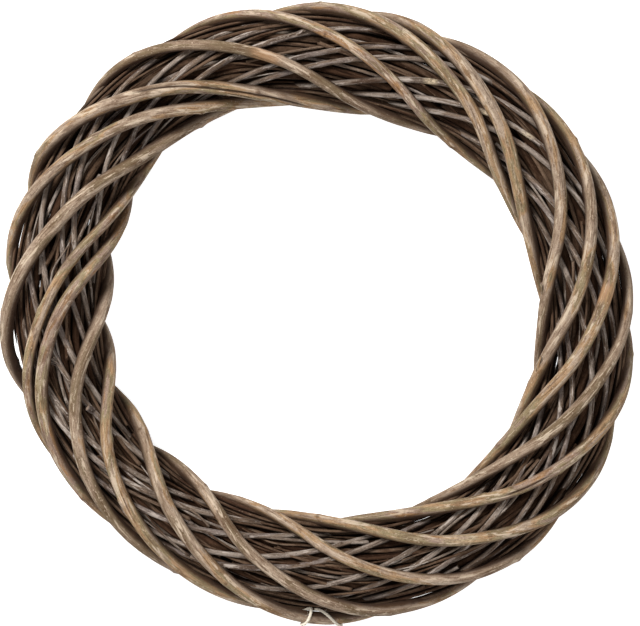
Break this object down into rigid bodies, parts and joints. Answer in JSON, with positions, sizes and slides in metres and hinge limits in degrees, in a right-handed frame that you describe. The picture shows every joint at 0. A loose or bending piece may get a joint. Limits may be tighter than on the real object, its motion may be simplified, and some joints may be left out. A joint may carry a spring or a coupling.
{
  "type": "wreath frame",
  "caption": "Round frame wound from willow rods, a base on which greenery and flowers are tied to make a wreath.",
  "frame": {"origin": "middle of the underside of the ring lying flat", "axes": "+Z is the ring's axis and points out of its front, +Y is its top when it hangs, +X is to the right seen from the front"},
  "size_m": [0.3036, 0.2998, 0.0454],
  "materials": {
    "outer_willow": "dry weathered bark, matt",
    "grey_willow": "weathered grey bark, matt",
    "brown_willow": "dark brown bark, matt",
    "twine": "twisted pale twine, matt"
  },
  "bodies": {
    "root": {"outer_rod_1": "outer_willow", "outer_rod_2": "outer_willow", "outer_rod_3": "outer_willow", "outer_rod_4": "outer_willow", "outer_rod_5": "outer_willow", "outer_rod_6": "outer_willow", "outer_rod_7": "outer_willow", "counter_rod_1": "grey_willow", "counter_rod_2": "grey_willow", "counter_rod_3": "grey_willow", "counter_rod_4": "grey_willow", "counter_rod_5": "grey_willow", "counter_rod_6": "grey_willow", "counter_rod_7": "grey_willow", "counter_rod_8": "grey_willow", "counter_rod_9": "grey_willow", "counter_rod_10": "grey_willow", "edge_shoot_1": "grey_willow", "edge_shoot_2": "grey_willow", "edge_shoot_3": "grey_willow", "edge_shoot_4": "grey_willow", "edge_shoot_5": "grey_willow", "edge_shoot_6": "grey_willow", "middle_rod_1": "brown_willow", "middle_rod_2": "brown_willow", "middle_rod_3": "brown_willow", "middle_rod_4": "brown_willow", "middle_rod_5": "brown_willow", "middle_rod_6": "brown_willow", "middle_rod_7": "brown_willow", "middle_rod_8": "brown_willow", "middle_rod_9": "brown_willow", "middle_rod_10": "brown_willow", "core_rod_1": "brown_willow", "core_rod_2": "brown_willow", "core_rod_3": "brown_willow", "core_rod_4": "brown_willow", "twine_tie": "twine"}
  },
  "joints": []
}
